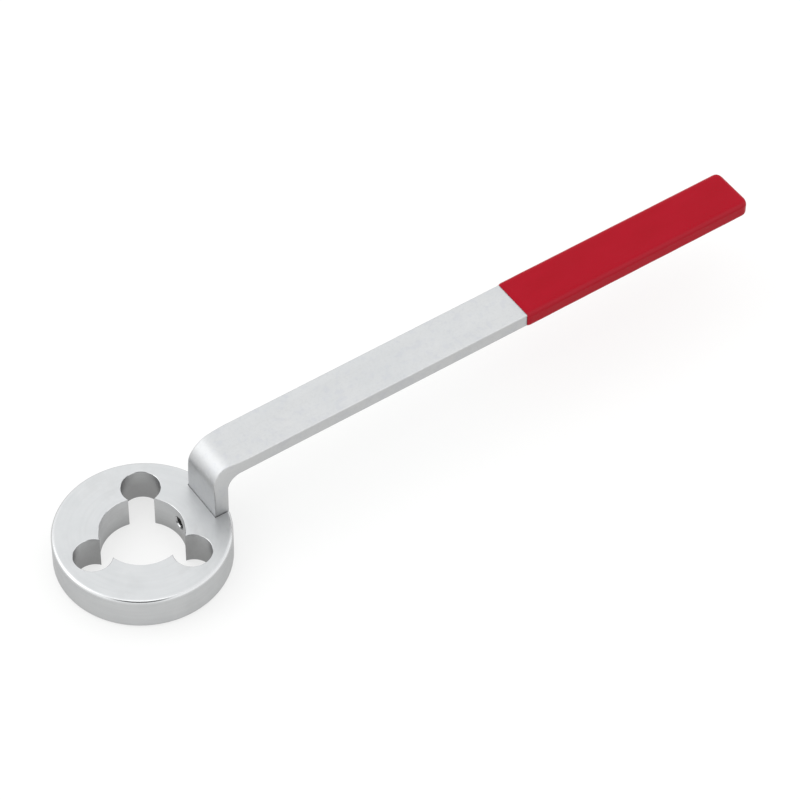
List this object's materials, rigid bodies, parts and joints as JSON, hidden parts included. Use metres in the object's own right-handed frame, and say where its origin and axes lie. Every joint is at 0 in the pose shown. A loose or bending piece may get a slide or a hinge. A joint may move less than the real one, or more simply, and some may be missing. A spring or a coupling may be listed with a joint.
{
  "type": "ring holding wrench",
  "caption": "Ring wrench whose bore runs out into round lobes, on a long cranked flat-bar handle with a dipped plastic grip; it slips over round lugs and turns or holds them.",
  "frame": {"origin": "on the ring's axis, at the ring's bottom face, which is the face that goes over the lugs", "axes": "+Z along the ring's axis towards the handle's side, +X from the ring's axis along the handle, +Y across the handle"},
  "size_m": [0.401, 0.088, 0.0562],
  "materials": {
    "ring_steel": "satin plated, turned faces",
    "bar_steel": "satin plated, drawn along its length",
    "grip_vinyl": "soft dipped vinyl, low sheen",
    "screw_steel": "zinc plated"
  },
  "bodies": {
    "root": {"head_ring": "ring_steel", "handle_bar": "bar_steel", "grip_sleeve": "grip_vinyl", "foot_screw": "screw_steel"}
  },
  "joints": []
}
